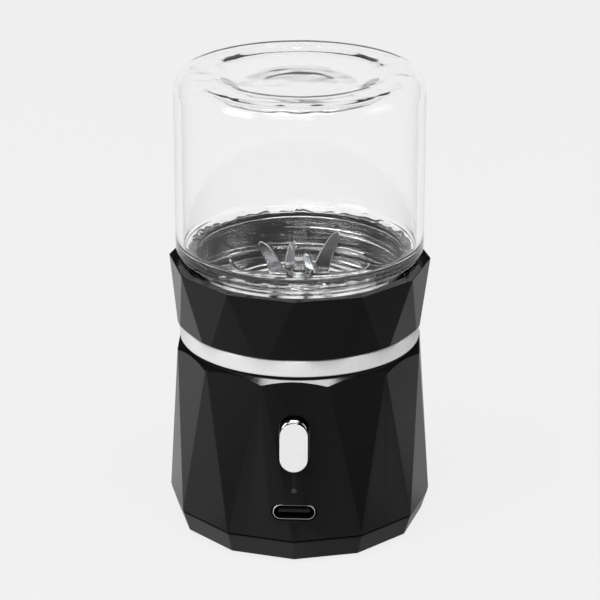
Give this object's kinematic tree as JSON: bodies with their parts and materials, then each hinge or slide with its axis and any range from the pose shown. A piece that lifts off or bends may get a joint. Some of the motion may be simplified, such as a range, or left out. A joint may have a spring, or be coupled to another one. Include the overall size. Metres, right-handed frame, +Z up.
{
  "type": "rechargeable jar grinder",
  "caption": "Small standing electric grinder: clear glass jar screwed upside down into a faceted black collar with blades, over a faceted black motor base with a push button and a USB-C socket.",
  "frame": {"origin": "on the surface the feet stand on, at the middle of the turned axis of the jar, blades and motor", "axes": "+Z up along the jar's, blades' and motor's axis; -Y towards the button and the socket; +X to the right seen from the button side"},
  "size_m": [0.0568, 0.0581, 0.1007],
  "materials": {
    "clear_glass": "clear moulded glass, smooth outside, slightly wavy inside the neck",
    "silicone": "translucent grey silicone",
    "black_plastic": "satin-gloss black moulded plastic",
    "white_plastic": "white satin plastic",
    "smoked_plastic": "smoked clear plastic",
    "dark_plastic": "matt black plastic",
    "polished_steel": "polished stamped stainless steel",
    "bright_steel": "bright machined steel",
    "zinc_steel": "zinc-plated steel",
    "dark_rubber": "matt black rubber",
    "motor_plastic": "natural nylon",
    "bronze": "sintered bronze and copper alloy",
    "ferrite": "sintered ferrite",
    "wire_black": "black wire insulation",
    "wire_red": "red wire insulation",
    "cell_foil": "aluminium pouch foil",
    "board_green": "green solder mask on glass-epoxy"
  },
  "bodies": {
    "housing": {"collar_shell": "black_plastic", "base_shell": "black_plastic", "base_plate": "black_plastic", "trim_ring": "white_plastic", "light_pipe": "smoked_plastic", "charge_lamp": "white_plastic", "usb_socket_shell": "bright_steel", "usb_tongue": "dark_plastic", "switch_body": "dark_plastic", "chamber_dish": "polished_steel", "shaft_seal": "dark_rubber", "motor_can": "zinc_steel", "motor_end_bell": "motor_plastic", "front_bush": "bronze", "rear_bush": "bronze", "motor_magnet_left": "ferrite", "motor_magnet_right": "ferrite", "motor_terminal_1": "bronze", "motor_terminal_2": "bronze", "motor_lead_1": "wire_black", "motor_lead_2": "wire_red", "battery_lead_1": "wire_black", "battery_lead_2": "wire_red", "battery_cell": "cell_foil", "circuit_board": "board_green", "foot_1": "dark_rubber", "base_screw_1": "zinc_steel", "foot_2": "dark_rubber", "base_screw_2": "zinc_steel", "foot_3": "dark_rubber", "base_screw_3": "zinc_steel", "foot_4": "dark_rubber", "base_screw_4": "zinc_steel", "collar_screw_1": "zinc_steel", "collar_screw_2": "zinc_steel", "collar_screw_3": "zinc_steel", "motor_screw_1": "zinc_steel", "board_screw_1": "zinc_steel", "motor_screw_2": "zinc_steel", "board_screw_2": "zinc_steel"},
    "rotor": {"motor_shaft": "bright_steel", "motor_armature": "zinc_steel", "motor_commutator": "bronze", "blade_hub": "bright_steel", "blade_flat": "polished_steel", "blade_tall": "polished_steel", "blade_short": "polished_steel", "blade_nut": "bright_steel"},
    "button": {"button_cap": "white_plastic"},
    "plunger": {"switch_plunger": "dark_plastic"},
    "seal": {"jar_seal": "silicone"},
    "jar": {"glass_jar": "clear_glass"}
  },
  "joints": [
    {"name": "blade_spin", "type": "hinge", "parent": "housing", "child": "rotor", "pos_m": [0, 0, 0.0555], "axis": [0, 0, 1], "continuous": true},
    {"name": "button_press", "type": "slide", "parent": "housing", "child": "button", "axis": [0, 0.9974, -0.0715], "range_m": [0, 0.0005], "stiffness_N_per_m": 1600, "springref_m": -0.0003},
    {"name": "plunger_press", "type": "slide", "parent": "housing", "child": "plunger", "axis": [0, 0.9974, -0.0715], "range_m": [0, 0.0005]},
    {"name": "jar_turn", "type": "hinge", "parent": "housing", "child": "seal", "pos_m": [0, 0, 0.0505], "axis": [0, 0, 1], "range_deg": [0, 900]},
    {"name": "jar_rise", "type": "slide", "parent": "seal", "child": "jar", "axis": [0, 0, 1], "range_m": [0, 0.01001]}
  ],
  "couplings": [
    {"joint": "plunger_press", "follows": "button_press", "ratio": 1},
    {"joint": "jar_rise", "follows": "jar_turn", "m_per_rad": 0.00063662}
  ]
}
